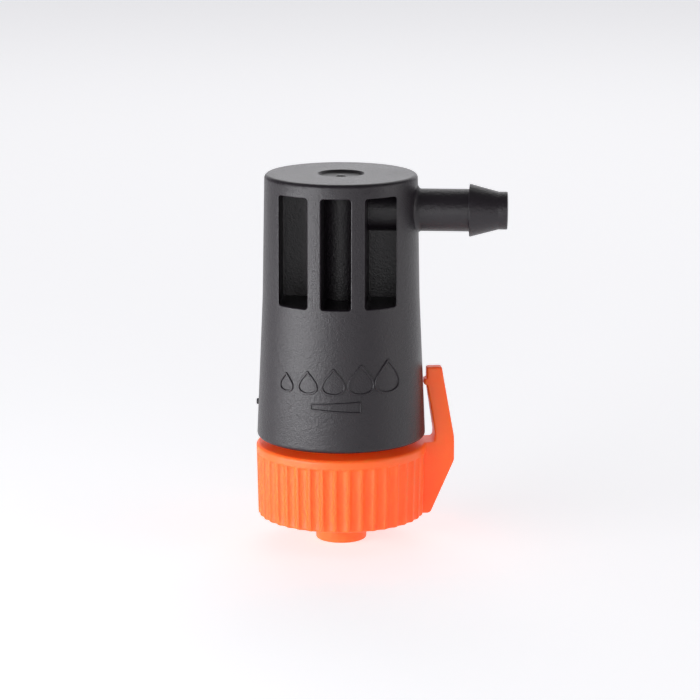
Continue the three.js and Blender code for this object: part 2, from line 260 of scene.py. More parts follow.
def plastic(name, build, **constants):
    """A material whose surface comes from build(graph, place): a dict of sockets that vary over it."""
    material = bpy.data.materials.new(name)
    material.use_nodes = True
    graph = Graph(material.node_tree)
    place = graph.node("ShaderNodeTexCoord", out=3)
    sockets = {key.replace("_", " "): value for key, value in constants.items()}
    sockets.update(build(graph, place))
    shader = graph.node("ShaderNodeBsdfPrincipled", {}, sockets)
    graph.node("ShaderNodeOutputMaterial", {}, {"Surface": shader})
    return material


print("shader workbench ready")

# %% [markdown]
# ## Black housing plastic
#
# The housing is moulded in a tool whose walls were spark eroded, so its skin is a fine even grain, less
# than a tenth of a millimetre deep, that turns a sharp reflection into a broad satin sheen. A coarser,
# fainter noise stands for the flow of the melt. Both change only roughness and normal; the colour shifts
# very little, and the sparse pale specks in it are painted glints, the sparkle of the grain.


# %% Black plastic
def black_surface(g, place):
    grain = g.noise(place, 0.00017, detail=3.0, roughness=0.6)
    pits = g.noise(place, 0.00042, detail=2.0)
    flow = g.noise(place, 0.0045, detail=3.0)
    # sparse pale specks painted into the colour: painted glints, the sparkle that the grain catches
    painted_glints = g.noise(place, 0.00035).steps_from(0.66, 0.80)
    tint = g.mix(flow, (0.0095, 0.0070, 0.0100), (0.0140, 0.0105, 0.0145))
    height = grain * 0.6 + pits * 0.4
    return {
        "Base Color": g.mix(painted_glints * 0.35, tint, (0.030, 0.029, 0.032)),
        "Roughness": 0.25 + grain * 0.12 + flow * 0.06,
        "Normal": g.bump(height, 0.000085, 1.0),
    }


black_plastic = plastic("black_plastic", black_surface, IOR=1.50)


# %% [markdown]
# ## Orange knob plastic
#
# The knob comes out of a smoother tool. It is a deeply coloured plastic, so light that enters a thin rib
# comes out warmer: a little subsurface scattering does that. A weak red glow is painted light: it
# brightens the knob's shaded parts, such as the strip in the shadow of the skirt. Slow noise moves the
# colour slightly, and a fine noise keeps the highlights from looking polished.


# %% Orange plastic
def orange_surface(g, place):
    flow = g.noise(place, 0.0060, detail=3.0)
    grain = g.noise(place, 0.00030, detail=2.0)
    return {
        "Base Color": g.mix(flow, (0.95, 0.140, 0.015), (0.99, 0.162, 0.020)),
        "Roughness": 0.36 + grain * 0.08 + flow * 0.06,
        "Normal": g.bump(grain, 0.000014, 0.45),
    }


orange_plastic = plastic(
    "orange_plastic", orange_surface, IOR=1.49,
    Subsurface_Weight=0.6, Subsurface_Radius=(1.0, 0.03, 0.015), Subsurface_Scale=0.0022,
    # the red emission is painted light: a glow that lifts the knob's shaded parts
    Emission_Color=(1.0, 0.03, 0.0, 1.0), Emission_Strength=0.16,
)

# %% [markdown]
# ## Rubber and natural acetal
#
# The seat and the ring are black rubber, matt with a dusty bloom. The pin is natural acetal, off-white
# and waxy, with a soft cloudy tone and a fine even texture.


# %% Rubber and acetal
def rubber_surface(g, place):
    bloom = g.noise(place, 0.0011, detail=4.0)
    return {
        "Base Color": g.mix(bloom, (0.014, 0.014, 0.015), (0.040, 0.039, 0.038)),
        "Roughness": 0.62 + bloom * 0.25,
        "Normal": g.bump(g.noise(place, 0.00025), 0.00001, 0.5),
    }


def acetal_surface(g, place):
    cloud = g.noise(place, 0.0016, detail=3.0)
    return {
        "Base Color": g.mix(cloud, (0.80, 0.77, 0.69), (0.87, 0.85, 0.78)),
        "Roughness": 0.28 + cloud * 0.14,
        "Normal": g.bump(g.noise(place, 0.00020), 0.000006, 0.5),
    }


rubber = plastic("seal_rubber", rubber_surface, IOR=1.50)
acetal = plastic("natural_acetal", acetal_surface, IOR=1.48)
print("materials:", sorted(m.name for m in bpy.data.materials))

# %% [markdown]
# ## Outlines with rounded corners
#
# Nearly every surface of a moulding is a straight draft with a small round at its end. So an outline is a
# list of corners, each with its own radius, and one function turns every corner into an arc.


# %% Rounded outlines
def rounded(points, steps=6):
    """The outline with an arc at each corner that has a radius: a point is (x, y) or (x, y, radius)."""
    outline = []
    for i, (x, y, *rest) in enumerate(points):
        here = Vector((x, y))
        if not rest:
            outline.append(here)
            continue
        radius = rest[0]
        back = (Vector(points[i - 1][:2]) - here).normalized()
        on = (Vector(points[(i + 1) % len(points)][:2]) - here).normalized()
        half = math.acos(max(-1.0, min(1.0, back.dot(on)))) / 2
        centre = here + (back + on).normalized() * radius / math.sin(half)
        start = here + back * radius / math.tan(half) - centre
        end = here + on * radius / math.tan(half) - centre
        sweep = math.atan2(start.x * end.y - start.y * end.x, start.dot(end))
        for k in range(steps + 1):
            turn = sweep * k / steps
            outline.append(centre + Vector((
                start.x * math.cos(turn) - start.y * math.sin(turn),
                start.x * math.sin(turn) + start.y * math.cos(turn),
            )))
    return outline


# %% [markdown]
# ## Skins from rings
#
# A turned body, a ribbed cap and a bent arm are all rings of points with a skin between them. One
# function skins any stack of rings, closing each end with a fan to its middle, or joining the last ring
# to the first.


# %% Skins
def mesh_object(name, points, faces):
    mesh = bpy.data.meshes.new(name)
    mesh.from_pydata(points, [], faces)
    made = bpy.data.objects.new(name, mesh)
    bpy.context.scene.collection.objects.link(made)
    outward(made)
    return made


def outward(piece):
    """Merges doubled points and turns every face outwards."""
    work = bmesh.new()
    work.from_mesh(piece.data)
    bmesh.ops.remove_doubles(work, verts=work.verts, dist=1e-5)
    bmesh.ops.recalc_face_normals(work, faces=work.faces)
    work.to_mesh(piece.data)
    work.free()


def skin(name, rings, joined=False):
    """A closed body from rings of equally many points, with fans for ends, or closed on itself."""
    count = len(rings[0])
    points = [tuple(p) for ring in rings for p in ring]
    faces = []
    pairs = [(i, i + 1) for i in range(len(rings) - 1)]
    if joined:
        pairs.append((len(rings) - 1, 0))
    for a, b in pairs:
        for k in range(count):
            n = (k + 1) % count
            faces.append((a * count + k, a * count + n, b * count + n, b * count + k))
    if not joined:
        for ring_index in (0, len(rings) - 1):
            middle = sum((Vector(p) for p in rings[ring_index]), Vector()) / count
            points.append(tuple(middle))
            hub = len(points) - 1
            for k in range(count):
                faces.append((ring_index * count + k, ring_index * count + (k + 1) % count, hub))
    return mesh_object(name, points, faces)


def turned(name, outline, columns=192, steps=6):
    """A turned body from an outline of (radius, height) that starts and ends on the axis, or closes."""
    profile = rounded(outline, steps)
    on_axis = profile[0].x < 1e-9
    if on_axis:
        profile = profile[1:-1]
    rings = []
    for radius, height in profile:
        turns = [2 * math.pi * k / columns for k in range(columns)]
        rings.append([(radius * math.cos(turn), radius * math.sin(turn), height) for turn in turns])
    return skin(name, rings, joined=not on_axis)


def moved(piece, rotate=None, shift=(0.0, 0.0, 0.0)):
    """The piece with its mesh turned by (axis, degrees) and shifted, in millimetres."""
    matrix = Matrix.Translation(shift)
    if rotate:
        matrix = matrix @ Matrix.Rotation(math.radians(rotate[1]), 4, rotate[0])
    piece.data.transform(matrix)
    return piece


def combine(piece, operation, *tools):
    """Cuts the tools from the piece, joins them to it, or keeps what they share, and drops the tools."""
    for tool in tools:
        step = piece.modifiers.new("combine", "BOOLEAN")
        step.operation = operation
        step.solver = "EXACT"
        step.object = tool
        evaluated = piece.evaluated_get(bpy.context.evaluated_depsgraph_get())
        whole = bpy.data.meshes.new_from_object(evaluated)
        piece.modifiers.clear()
        piece.data = whole
        bpy.data.objects.remove(tool)
    return piece


def cleaned(piece, gap=0.004):
    """Merges points that a boolean left nearly together, drops slivers and counts the open edges."""
    work = bmesh.new()
    work.from_mesh(piece.data)
    bmesh.ops.remove_doubles(work, verts=work.verts, dist=gap)
    bmesh.ops.dissolve_degenerate(work, edges=work.edges, dist=gap / 2)
    open_edges = sum(not edge.is_manifold for edge in work.edges)
    work.to_mesh(piece.data)
    work.free()
    return open_edges


def finished(piece, node, body, material, sharp=32.0):
    """Moves a whole mesh into the frame, shades it, gives it its material and hangs it on its body."""
    open_edges = cleaned(piece)
    piece.data.transform(Matrix.Translation((AXIS.x, AXIS.y, 0.0)) @ Matrix.Scale(MM, 4))
    piece.data.materials.clear()
    piece.data.materials.append(material)
    piece.data.shade_smooth()
    piece.data.set_sharp_from_angle(angle=math.radians(sharp))
    steady = piece.modifiers.new("even_normals", "WEIGHTED_NORMAL")
    steady.keep_sharp = True
    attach(piece, body)
    if node:
        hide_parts(node)
    print(f"{piece.name}: {len(piece.data.polygons)} faces on {body}, {open_edges} open edges")
    return piece


print("mesh helpers ready")

# %% [markdown]
# ## The sizes of the mouldings
#
# The housing tapers twice: a strong draft on the skirt, so that the tool lets go of it, and a slight one
# above. These are the same sizes that the engineering model uses, in millimetres.

# %% Sizes
SKIRT = {"bottom": 8.88, "waist": 8.22, "top": 7.98, "waist_rise": 14.96, "wall": 1.3, "deck": 1.7}
WAIST = SKIRT_BOTTOM + SKIRT["waist_rise"]
WINDOW = {"half": 1.55, "height": 11.4, "pitch": 4.5, "corner": 0.3, "web": 0.8, "lip": 0.16}
WINDOW_TOP = WAIST + WINDOW["height"]
BARB = {
    "stem": 2.215, "ridge": 2.74, "tip": 1.97, "bore": 1.1,
    "land": 0.12, "cone": 2.9, "end": 0.97, "flare": 0.35,
}
BARB_HEIGHT = HOUSING_TOP - 3.75
SHOULDER = BARB_END - BARB["end"] - BARB["cone"] - BARB["land"]
COLUMN = {"radius": 2.7, "bore": 1.15}
BOSS = {"radius": 5.0, "mouth": SKIRT_BOTTOM + 1.9, "thread": 5.8, "seal": 6.0, "seal_bore": 2.6}
THREAD_START = BOSS["mouth"] + 0.75
SEAL_START = BOSS["mouth"] + BOSS["thread"]
SEAL_END = SEAL_START + BOSS["seal"]
CAP = {"bottom": 2.8, "top": SKIRT_BOTTOM - 0.72, "top_radius": 8.97, "bottom_radius": 8.8, "band": 0.95}
THREAD = {"root": 3.3, "height": 0.55, "play": 0.1, "lead": 1.25, "root_half": 0.3, "tip_half": 0.15}
STEM = {"shoulder": NOSE_TOP - 5.2, "nose": 2.25, "bore": 1.25, "ring_seat": 1.75}
STUB = {"radius": 2.68, "bore": 1.1, "mouth": 1.35}
CORE = {"hub": 3.9, "wall": 1.55, "roof": 1.5, "webs": 6, "web_half_angle": 5.2}
ARM = {"azimuth": 9.0, "rise": 7.9, "nub_drop": 1.57, "nub_clear": 0.12, "nub_stand": 0.27,
       "ledge": 0.88, "reach": 2.9, "foot": 0.55, "tip": 1.6, "round": 0.22}
print(f"waist {WAIST:.2f}, windows up to {WINDOW_TOP:.2f}, barb at {BARB_HEIGHT:.2f} mm")


def wall_radius(height):
    """The housing's outer radius at a height."""
    if height < WAIST:
        share = (height - SKIRT_BOTTOM) / (WAIST - SKIRT_BOTTOM)
        return SKIRT["bottom"] + (SKIRT["waist"] - SKIRT["bottom"]) * share
    share = (height - WAIST) / (HOUSING_TOP - WAIST)
    return SKIRT["waist"] + (SKIRT["top"] - SKIRT["waist"]) * share


# %% [markdown]
# ## The housing's outer body
#
# On the real moulding the body is one turned form with a small round at the top edge and a shallow gate
# dimple in the middle of the top, where the plastic came in. The vestige of the gate stands in the
# dimple. A turned outline is the natural way to draw it. A ring of points just inside each round keeps
# the flat top flat.

# %% Outer body
housing = turned("housing_moulding", [
    (0, SKIRT_BOTTOM),
    (SKIRT["bottom"], SKIRT_BOTTOM, 0.4),
    (SKIRT["waist"], WAIST, 6.0),
    (SKIRT["top"], HOUSING_TOP, 0.45),
    (2.45, HOUSING_TOP, 0.12),
    (2.15, HOUSING_TOP - 0.3, 0.16),
    (0.62, HOUSING_TOP - 0.3, 0.15),
    (0.34, HOUSING_TOP - 0.16, 0.15),
    (0, HOUSING_TOP - 0.16),
], columns=256)
print("outer body:", len(housing.data.vertices), "points")

# %% [markdown]
# ## The hose barb
#
# A micro tube is pushed over the cone and cannot slip back over the square shoulder. The stem runs into
# the body through a fillet that follows the body's curve. So the barb is turned along X, and the rings of
# its flared root are then drawn back by as much as the round wall falls away from its crown.


# %% Barb
def turned_along_x(name, outline, columns=96, steps=6):
    piece = turned(name, outline, columns, steps)
    return moved(piece, rotate=("Y", 90), shift=(0, 0, BARB_HEIGHT))


crown = wall_radius(BARB_HEIGHT)
flare = BARB["flare"]
flare_arc = [
    (BARB["stem"] + flare * (1 - math.sin(a)), crown + flare * (1 - math.cos(a)))
    for a in (math.pi / 2 * k / 8 for k in range(1, 9))
]
barb = turned_along_x("barb", [
    (0, 2.0),
    (BARB["stem"] + flare, 2.0),
    (BARB["stem"] + flare, crown - 0.02),
    *flare_arc,
    (BARB["stem"], SHOULDER, 0.12),
    (BARB["ridge"], SHOULDER, 0.06),
    (BARB["ridge"], SHOULDER + BARB["land"], 0.05),
    (BARB["tip"], BARB_END - BARB["end"], 0.40),
    (BARB["tip"], BARB_END - 0.05, 0.12),
    (BARB["bore"] + 0.3, BARB_END),
    (0, BARB_END),
])
for point in barb.data.vertices:
    if crown - 0.1 < point.co.x < crown + flare + 0.01:
        fade = 1 - (point.co.x - crown) / flare
        fall = crown - math.sqrt(crown ** 2 - point.co.y ** 2)
        point.co.x -= fall * min(1.0, max(0.0, fade))
combine(housing, "UNION", barb)
print("with barb:", len(housing.data.vertices), "points")

# %% [markdown]
# ## The window pockets
#
# The mould's cores go straight in from the front and the back, so each pocket has parallel walls and ends
# on a web in the middle plane. The column and the inlet duct stand proud in the pockets, because the
# water runs inside them. Where a pocket breaks through the round wall its edge is slightly rounded. A
# bevel tool struggles on a curved cut, so the cutter itself is flared: near the mouth its outline grows
# along a quarter circle that follows the wall.


# %% Pocket cutters
def window_outline(middle_x, grow):
    """Points round one window, seen from the front, and grown outwards by this much."""
    half, corner = WINDOW["half"] + grow, WINDOW["corner"] + grow
    left, right = middle_x - half, middle_x + half
    low, high = WAIST - grow, WINDOW_TOP + grow
    corners = rounded([
        (left, low, corner), (right, low, corner), (right, high, corner), (left, high, corner),
    ], steps=6)
    outline = []
    for i, point in enumerate(corners):
        following = corners[(i + 1) % len(corners)]
        parts = max(1, round((following - point).length / 0.45)) if (following - point).length > 1 else 1
        outline.extend(point.lerp(following, k / parts) for k in range(parts))
    return outline


def pocket_cutter(name, middle_x):
    """A through cutter for one column of windows, with a flared mouth at the front and at the back."""
    lip = WINDOW["lip"]
    turns = [math.radians(degrees) for degrees in range(20, 91, 10)]
    arc = [(lip * (1 - math.sin(a)), -lip * (1 - math.cos(a))) for a in turns]
    mouth = [(lip * 1.1 + 0.05, 0.6)] + arc
    rings = []
    for side in (-1, 1):
        half_rings = []
        for grow, proud in mouth:
            half_rings.append([
                (p.x, side * (math.sqrt(wall_radius(p.y) ** 2 - p.x ** 2) + proud), p.y)
                for p in window_outline(middle_x, grow)
            ])
        rings.extend(half_rings if side < 0 else half_rings[::-1])
    return skin(name, rings)


def column_bar(radius, low, high, columns=96):
    """A round bar, turned a little so that none of its edges lies in the middle plane of the windows."""
    bar = turned("bar", [(0, low), (radius, low), (radius, high), (0, high)], columns)
    return moved(bar, rotate=("Z", 0.9))


def block(low, high):
    points = [(x, y, z) for x in (low[0], high[0]) for y in (low[1], high[1]) for z in (low[2], high[2])]
    faces = [(0, 1, 3, 2), (4, 6, 7, 5), (0, 4, 5, 1), (2, 3, 7, 6), (0, 2, 6, 4), (1, 5, 7, 3)]
    return mesh_object("block", points, faces)


for place in (-1, 0, 1):
    cutter = pocket_cutter(f"pocket_{place}", place * WINDOW["pitch"])
    web = block((-10, -WINDOW["web"] / 2, WAIST - 2), (10, WINDOW["web"] / 2, WINDOW_TOP + 2))
    combine(cutter, "DIFFERENCE", web)
    if place == 0:
        combine(cutter, "DIFFERENCE", column_bar(COLUMN["radius"], WAIST - 2, WINDOW_TOP + 2))
    if place >= 0:
        combine(cutter, "DIFFERENCE", turned_along_x("duct", [
            (0, 0), (BARB["stem"], 0), (BARB["stem"], 12), (0, 12),
        ]))
    combine(housing, "DIFFERENCE", cutter)
print("with windows:", len(housing.data.vertices), "points")

# %% [markdown]
# ## Inside the skirt
#
# From below, the housing is a cup with a boss in it. The boss carries the thread, the smooth bore for the
# seal and the seat. All of that is turned work, cut out of the solid body, and the duct is drilled across
# to meet it.


# %% Skirt, boss and bores
def thread_ridge(name, root, crest, start, turns, per_turn=64):
    """A ridge that winds up a round wall, from its root inside the wall to its crest."""
    section = [
        (root, -THREAD["root_half"]), (crest, -THREAD["tip_half"]),
        (crest, THREAD["tip_half"]), (root, THREAD["root_half"]),
    ]
    rings = []
    for i in range(round(per_turn * turns) + 1):
        angle = 2 * math.pi * i / per_turn
        ends = min(1.0, i / (0.12 * per_turn), (round(per_turn * turns) - i) / (0.12 * per_turn))
        rise = start + THREAD["lead"] * i / per_turn
        ring = []
        for radius, offset in section:
            reach = root + (radius - root) * (0.15 + 0.85 * ends)
            ring.append((reach * math.cos(angle), reach * math.sin(angle), rise + offset))
        rings.append(ring)
    return skin(name, rings)


thread_bore = THREAD["root"] + THREAD["height"] + THREAD["play"]
deck_underside = WAIST - SKIRT["deck"]
skirt_hollow = turned("skirt_hollow", [
    (0, SKIRT_BOTTOM - 1),
    (SKIRT["bottom"] - SKIRT["wall"], SKIRT_BOTTOM - 1),
    (wall_radius(deck_underside) - SKIRT["wall"], deck_underside, 0.4),
    (BOSS["radius"], deck_underside, 0.3),
    (BOSS["radius"], BOSS["mouth"], 0.15),
    (thread_bore + 0.35, BOSS["mouth"]),
    (thread_bore, BOSS["mouth"] + 0.35),
    (0, BOSS["mouth"] + 0.35),
])
bores = turned("bores", [
    (0, BOSS["mouth"]),
    (thread_bore, BOSS["mouth"]),
    (thread_bore, SEAL_START, 0.1),
    (BOSS["seal_bore"] + 0.25, SEAL_START),
    (BOSS["seal_bore"], SEAL_START + 0.4),
    (BOSS["seal_bore"], SEAL_END),
    (1.75, SEAL_END),
    (1.75, SEAL_END + 3.13),
    (COLUMN["bore"], SEAL_END + 3.13),
    (COLUMN["bore"], BARB_HEIGHT + BARB["bore"]),
    (0, BARB_HEIGHT + BARB["bore"]),
], columns=96)
duct_bore = turned_along_x("duct_bore", [
    (0, 0), (BARB["bore"], 0), (BARB["bore"], BARB_END - 0.12), (BARB["bore"] + 0.3, BARB_END + 0.18),
    (BARB["bore"] + 0.3, BARB_END + 1), (0, BARB_END + 1),
], columns=64)
combine(housing, "DIFFERENCE", skirt_hollow, bores, duct_bore)
female = thread_ridge(
    "boss_thread", thread_bore + 0.15, THREAD["root"] + THREAD["play"], THREAD_START, 3,
)
combine(housing, "UNION", female)
print("housing:", len(housing.data.vertices), "points")

# %% [markdown]
# ## Scale pips
#
# Six little raised pips stand round the back of the skirt, and the arm of the knob points at them. Each
# is a short dowel with a domed end, set into the wall along its own radius.

# %% Pips
PIP = {"height": SKIRT_BOTTOM + 3.43, "radius": 0.32, "stand": 0.23, "first": 30, "last": 180, "count": 6}
pip_wall = wall_radius(PIP["height"])
for i in range(PIP["count"]):
    pip = turned("pip", [
        (0, pip_wall - 0.4), (PIP["radius"], pip_wall - 0.4),
        (PIP["radius"], pip_wall + PIP["stand"], 0.12), (0, pip_wall + PIP["stand"]),
    ], columns=32)
    moved(pip, rotate=("Y", 90), shift=(0, 0, PIP["height"]))
    azimuth = PIP["first"] + i * (PIP["last"] - PIP["first"]) / (PIP["count"] - 1)
    moved(pip, rotate=("Z", azimuth))
    combine(housing, "UNION", pip)
finished(housing, "housing", "housing", black_plastic)

# %% [markdown]
# ## The raised emblem
#
# Low raised lines on the front of the skirt carry a plain picture of what the knob does: drops that grow
# from left to right, over a long wedge. A line is a flat outline with a narrow roof-shaped section. It is
# drawn on a plane and wrapped round the taper, so its width stays true.


# %% Emblem
def raised_line(name, corners, width=0.27, stand=0.13):
    """A closed raised line on the front of the skirt, from points of (distance round the wall, height)."""
    section = [
        (-0.5, -0.06), (-0.42, 0.6 * stand), (-0.22, stand), (0.22, stand), (0.42, 0.6 * stand), (0.5, -0.06),
    ]
    rings = []
    outline = []
    for point, following in zip(corners, corners[1:] + corners[:1]):
        parts = max(1, round((following - point).length / 0.2))
        outline.extend(point.lerp(following, k / parts) for k in range(parts))
    count = len(outline)
    for i, point in enumerate(outline):
        along = (outline[(i + 1) % count] - outline[i - 1]).normalized()
        out = Vector((along.y, -along.x))
        ring = []
        for aside, proud in section:
            p = point + out * (aside * width)
            radius = wall_radius(p.y)
            angle = -math.pi / 2 + p.x / radius
            ring.append(((radius + proud) * math.cos(angle), (radius + proud) * math.sin(angle), p.y))
        rings.append(ring)
    return skin(name, rings, joined=True)


def drop_outline(middle, low, width, height, steps=40):
    """A water drop with its point up."""
    outline = []
    for k in range(steps):
        t = 2 * math.pi * (k + 0.5) / steps
        across = math.sin(t) * abs(math.sin(t / 2)) ** 1.4
        outline.append(Vector((middle + 0.62 * width * across, low + height * (1 + math.cos(t)) / 2)))
    return outline


EMBLEM_BASE = SKIRT_BOTTOM + 6.2
lines = []
for k in range(5):
    size = 1.9 + 0.38 * k
    middle = -5.6 + 2.55 * k + 0.07 * k * k
    lines.append(raised_line(f"drop_{k}", drop_outline(middle, EMBLEM_BASE, size, size)))
wedge = rounded([(-2.6, 4.60, 0.08), (2.6, 4.30, 0.15), (2.6, 5.40, 0.15), (-2.6, 5.10, 0.08)], steps=4)
lines.append(raised_line("wedge", [Vector((p.x, p.y + SKIRT_BOTTOM)) for p in wedge], width=0.20))
emblem = lines[0]
emblem.name = "housing_emblem"
combine(emblem, "UNION", *lines[1:])
finished(emblem, None, "housing", black_plastic)

# %% [markdown]
# ## The knob's ribbed cap
#
# Forty shallow flutes give wet fingers a grip. They end below the rim, so the top edge is a smooth band.
# A flute is only a dip in the radius, so the whole wall is one stack of rings whose radius dips forty
# times round. That keeps every flute evenly hollow, with a narrow crest between two of them and a soft
# end. Towards the lower edge they grow shallower, so that it stays nearly smooth.

# %% Cap
GROOVE = {"count": 40, "depth": 0.33, "mouth": 1.14, "per": 20}


def groove_dip(turn):
    """How deep the groove is at this turn round the cap, from 0 on a rib to 1 on a groove's floor."""
    pitch = 2 * math.pi / GROOVE["count"]
    off = abs((turn + pitch / 2) % pitch - pitch / 2) * CAP["top_radius"]
    return max(0.0, 1 - (off / (GROOVE["mouth"] / 2)) ** 2) ** 0.75


cap_outline = rounded([
    (0, 0),
    (STUB["radius"], 0, 0.22),
    (STUB["radius"], CAP["bottom"], 0.15),
    (CAP["bottom_radius"], CAP["bottom"], 0.3),
    (CAP["top_radius"], CAP["top"], 0.36),
    (THREAD["root"], CAP["top"], 0.3),
    (THREAD["root"], STEM["shoulder"], 0.15),
    (STEM["nose"], STEM["shoulder"], 0.1),
    (STEM["nose"], STEM["shoulder"] + 1.75),
    (STEM["ring_seat"], STEM["shoulder"] + 1.75, 0.12),
    (STEM["ring_seat"], STEM["shoulder"] + 2.85, 0.12),
    (STEM["nose"], STEM["shoulder"] + 2.85),
    (STEM["nose"], NOSE_TOP, 0.15),
    (0, NOSE_TOP),
], steps=7)
groove_top = CAP["top"] - CAP["band"]
wall_heights = [CAP["bottom"] + 0.30 + 0.55 * k for k in range(11)]
wall_heights += [groove_top - 0.30 + 0.06 * k for k in range(6)] + [groove_top + 0.05]
profile = []
for point, following in zip(cap_outline, cap_outline[1:] + [None]):
    profile.append(point)
    if following and following.y - point.y > 4 and point.x > 8:
        rise = following.y - point.y
        profile.extend(
            point.lerp(following, (z - point.y) / rise)
            for z in wall_heights if point.y + 0.02 < z < following.y - 0.02
        )
columns = GROOVE["count"] * GROOVE["per"]
rings = []
for point in profile[1:-1]:
    fade = min(1.0, max(0.0, (groove_top - point.y) / 0.28))
    fade = math.sqrt(1 - (1 - fade) ** 2) if 8.3 < point.x else 0.0
    fade *= min(1.0, 0.45 + 0.55 * max(0.0, point.y - CAP["bottom"]) / 0.6)
    ring = []
    for k in range(columns):
        turn = 2 * math.pi * k / columns
        radius = point.x - GROOVE["depth"] * groove_dip(turn + math.pi / GROOVE["count"]) * fade
        angle = turn + math.radians(ARM["azimuth"])
        ring.append((radius * math.cos(angle), radius * math.sin(angle), point.y))
    rings.append(ring)
knob = skin("flow_knob_moulding", rings)
print("cap:", len(knob.data.vertices), "points")

# %% [markdown]
# ## The pointer arm
#
# The arm grows out of a shelf at the rim, bends up and leans in until its nub almost touches the skirt.
# Its thickness shrinks from root to tip. Cross-sections at many heights, each a rectangle with round
# corners, make it one smooth loft. Two heights close together make a step, such as the shelf or the
# flanks of the nub.


# %% Arm
def straight(low, high, height):
    """The reach at a height on a straight line between two points of (reach, height)."""
    share = (height - low[1]) / (high[1] - low[1])
    return low[0] + (high[0] - low[0]) * min(1.0, max(0.0, share))


def along(points, height):
    """The reach at a height on a line through several points of (reach, height)."""
    for low, high in zip(points, points[1:]):
        if height <= high[1]:
            return straight(low, high, height)
    return points[-1][0]


TIP = CAP["top"] + ARM["rise"]
NUB = TIP - ARM["nub_drop"]
nub_face = wall_radius(NUB) + ARM["nub_clear"]
ledge = CAP["top_radius"] + ARM["ledge"]
elbow = CAP["top_radius"] + ARM["reach"]
tip_face = nub_face + ARM["nub_stand"]
outer_edge = [(p.x, p.y) for p in rounded([
    (CAP["bottom_radius"] + ARM["foot"], CAP["bottom"]), (elbow, CAP["top"] - 2.0, 1.0),
    (elbow, CAP["top"] + 0.5, 5.0), (tip_face + ARM["tip"], TIP),
])]
inner_edge = [
    (8.3, CAP["bottom"]), (8.3, CAP["top"] - 0.5),
    (8.5, CAP["top"] - 0.03), (ledge - 0.45, CAP["top"]), (ledge - 0.22, CAP["top"] + 0.06),
    (ledge - 0.08, CAP["top"] + 0.18), (ledge - 0.01, CAP["top"] + 0.40), (ledge, CAP["top"] + 0.9),
    (tip_face + 0.02, NUB - 0.42), (tip_face - 0.05, NUB - 0.36), (nub_face + 0.04, NUB - 0.30),
    (nub_face, NUB - 0.24), (nub_face, NUB + 0.24), (nub_face + 0.04, NUB + 0.30),
    (tip_face - 0.05, NUB + 0.36), (tip_face, NUB + 0.42), (tip_face, TIP),
]
half_thickness = [
    (1.65, CAP["bottom"]), (1.65, CAP["top"] - 0.3), (1.60, CAP["top"] + 0.2), (0.72, NUB), (0.70, TIP),
]


def arm_section(height, inset=0.0):
    """A rectangle with round corners, between the arm's two edges at a height."""
    low, high = along(inner_edge, height) + inset, along(outer_edge, height) - inset
    half = along(half_thickness, height) - inset
    corner = min(ARM["round"], 0.45 * (high - low), 0.45 * half)
    section = rounded([
        (low, -half, corner), (high, -half, corner), (high, half, corner), (low, half, corner),
    ], steps=5)
    return [(p.x, p.y, height) for p in section]


arm_heights = sorted(
    {h for _, h in outer_edge + inner_edge + half_thickness if h < TIP - 0.25}
    | {CAP["bottom"] + 0.3 * k for k in range(1, 50) if CAP["bottom"] + 0.3 * k < TIP - 0.3}
)
arm_heights = [h for i, h in enumerate(arm_heights) if i == 0 or h - arm_heights[i - 1] > 0.02]
arm_rings = [arm_section(CAP["bottom"], 0.15), arm_section(CAP["bottom"] + 0.12, 0.03)]
arm_rings += [arm_section(h) for h in arm_heights if h > CAP["bottom"] + 0.2]
round_top = ARM["round"]
for k in range(6):
    angle = math.pi / 2 * k / 5
    ring = arm_section(TIP - round_top, round_top * (1 - math.cos(angle)))
    arm_rings.append([(x, y, TIP - round_top * (1 - math.sin(angle))) for x, y, _ in ring])
arm = skin("arm", arm_rings)
moved(arm, rotate=("Z", ARM["azimuth"]))
combine(knob, "UNION", arm)
print("with arm:", len(knob.data.vertices), "points")

# %% [markdown]
# ## Under the cap, and the stem
#
# A thick lump of plastic sinks as it cools, so the cap is cored out from below and six webs tie the wall
# to the hub. The hollow stem above carries the thread, the groove for the ring and the cross hole where
# the water comes in. The way out is through the stub.


# %% Underside and stem
def sector_cutter(name, inner, outer, low, high, start, stop, steps=24):
    """A ring sector between two angles, in degrees, narrowing slightly towards its roof."""
    rings = []
    levels = [
        (low, -0.12), (low + 1.0, -0.12), (low + 1.12, 0.0),
        (high - 0.3, 0.08), (high - 0.09, 0.17), (high, 0.38),
    ]
    for height, shrink in levels:
        ring = []
        for radius, order in ((inner + shrink, range(steps + 1)), (outer - shrink, range(steps, -1, -1))):
            trim = math.degrees(shrink / radius)
            for k in order:
                angle = math.radians(start + trim + (stop - start - 2 * trim) * k / steps)
                ring.append((radius * math.cos(angle), radius * math.sin(angle), height))
        rings.append(ring)
    return skin(name, rings)


half_span = 180 / CORE["webs"] - CORE["web_half_angle"]
for i in range(CORE["webs"]):
    middle = ARM["azimuth"] + (i + 0.5) * 360 / CORE["webs"]
    combine(knob, "DIFFERENCE", sector_cutter(
        "core", CORE["hub"], CAP["bottom_radius"] - CORE["wall"],
        CAP["bottom"] - 1.0, CAP["top"] - CORE["roof"], middle - half_span, middle + half_span,
    ))
way_out = turned("way_out", [
    (0, -1), (STUB["mouth"], -1), (STUB["mouth"], -0.05), (STUB["bore"], 0.25), (STUB["bore"], CAP["bottom"]),
    (STEM["bore"], CAP["bottom"] + 0.3), (STEM["bore"], NOSE_TOP + 1), (0, NOSE_TOP + 1),
], columns=64)
cross_hole = turned("cross_hole", [(0, -4), (0.6, -4), (0.6, 4), (0, 4)], columns=32)
moved(cross_hole, rotate=("Y", 90), shift=(0, 0, NOSE_TOP - 1.4))
combine(knob, "DIFFERENCE", way_out, cross_hole)
